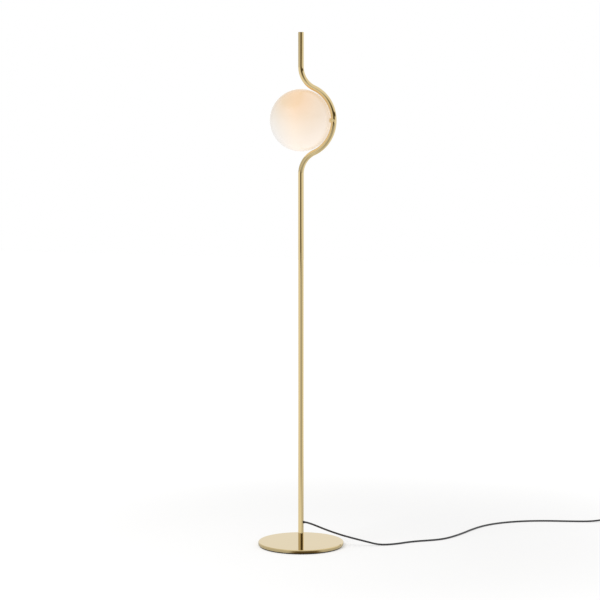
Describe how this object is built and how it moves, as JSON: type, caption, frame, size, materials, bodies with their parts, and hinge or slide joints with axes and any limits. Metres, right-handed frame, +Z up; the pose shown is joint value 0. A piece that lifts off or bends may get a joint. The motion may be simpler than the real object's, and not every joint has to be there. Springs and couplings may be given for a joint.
{
  "type": "floor lamp",
  "caption": "Slim floor lamp: a brass tube on a round base bends round an opal glass globe; a black lead has a foot switch, a coil and a flat plug.",
  "frame": {"origin": "on the floor under the stem, at the centre of the round base", "axes": "+Z up along the stem; +X the side to which the stem's arc bulges and the cord leaves"},
  "size_m": [1.1537, 1.0869, 1.67],
  "materials": {
    "polished_brass": "polished",
    "turned_brass": "turned",
    "zinc_steel": "zinc plated",
    "spring_steel": "drawn wire",
    "nickel_cap": "nickel plated",
    "nickel_pins": "nickel plated",
    "pad_rubber": "matt",
    "black_rubber": "satin",
    "cord_black": "satin sheath",
    "white_enamel": "gloss",
    "white_plastic": "satin",
    "holder_white": "satin",
    "bulb_white": "satin",
    "bulb_insulator": "glazed",
    "bulb_board": "white lacquer",
    "bulb_opal": "opal",
    "opal_glass": "opal, gloss",
    "switch_black": "fine grain",
    "button_black": "satin",
    "insulator": "moulded",
    "plug_black": "satin"
  },
  "bodies": {
    "lamp": {"base_pad": "pad_rubber", "base_plate": "polished_brass", "base_washer": "zinc_steel", "base_bolt": "zinc_steel", "stem_insert": "turned_brass", "stem_tube": "polished_brass", "tube_end_cap": "polished_brass", "cord_grommet": "black_rubber", "inner_lead": "cord_black", "seat_plug": "turned_brass", "seat_screw": "polished_brass", "seat_nipple": "turned_brass", "seat_saddle": "polished_brass", "globe_carrier": "white_enamel", "carrier_nut": "turned_brass", "holder_dome": "holder_white", "holder_body": "holder_white", "holder_shell": "turned_brass", "holder_contact": "turned_brass", "bulb_cap": "nickel_cap", "bulb_tip": "bulb_insulator", "bulb_skirt": "bulb_white", "bulb_board": "bulb_board", "bulb_diffuser": "bulb_opal", "cord_to_switch": "cord_black", "cord_to_coil": "cord_black", "cord_coil": "cord_black", "cord_to_plug": "cord_black", "switch_lower_shell": "switch_black", "switch_upper_shell": "switch_black", "switch_spring": "spring_steel", "switch_block": "insulator", "switch_contacts": "turned_brass", "switch_clamps": "insulator", "switch_leads": "cord_black", "switch_screws": "zinc_steel", "switch_feet": "black_rubber", "switch_inlet_boot": "black_rubber", "switch_outlet_boot": "black_rubber", "plug_body": "plug_black", "plug_pins": "nickel_pins"},
    "globe": {"globe_glass": "opal_glass", "globe_ring": "white_plastic"},
    "button": {"switch_button": "button_black", "switch_bridge": "turned_brass"}
  },
  "joints": [
    {"name": "globe_turn", "type": "hinge", "parent": "lamp", "child": "globe", "pos_m": [0, 0, 1.3885], "axis": [1, 0, 0], "range_deg": [0, 45]},
    {"name": "button_press", "type": "slide", "parent": "lamp", "child": "button", "axis": [0, 0, -1], "range_m": [0, 0.003], "stiffness_N_per_m": 600, "springref_m": -0.002, "deforming": ["switch_spring"]}
  ]
}
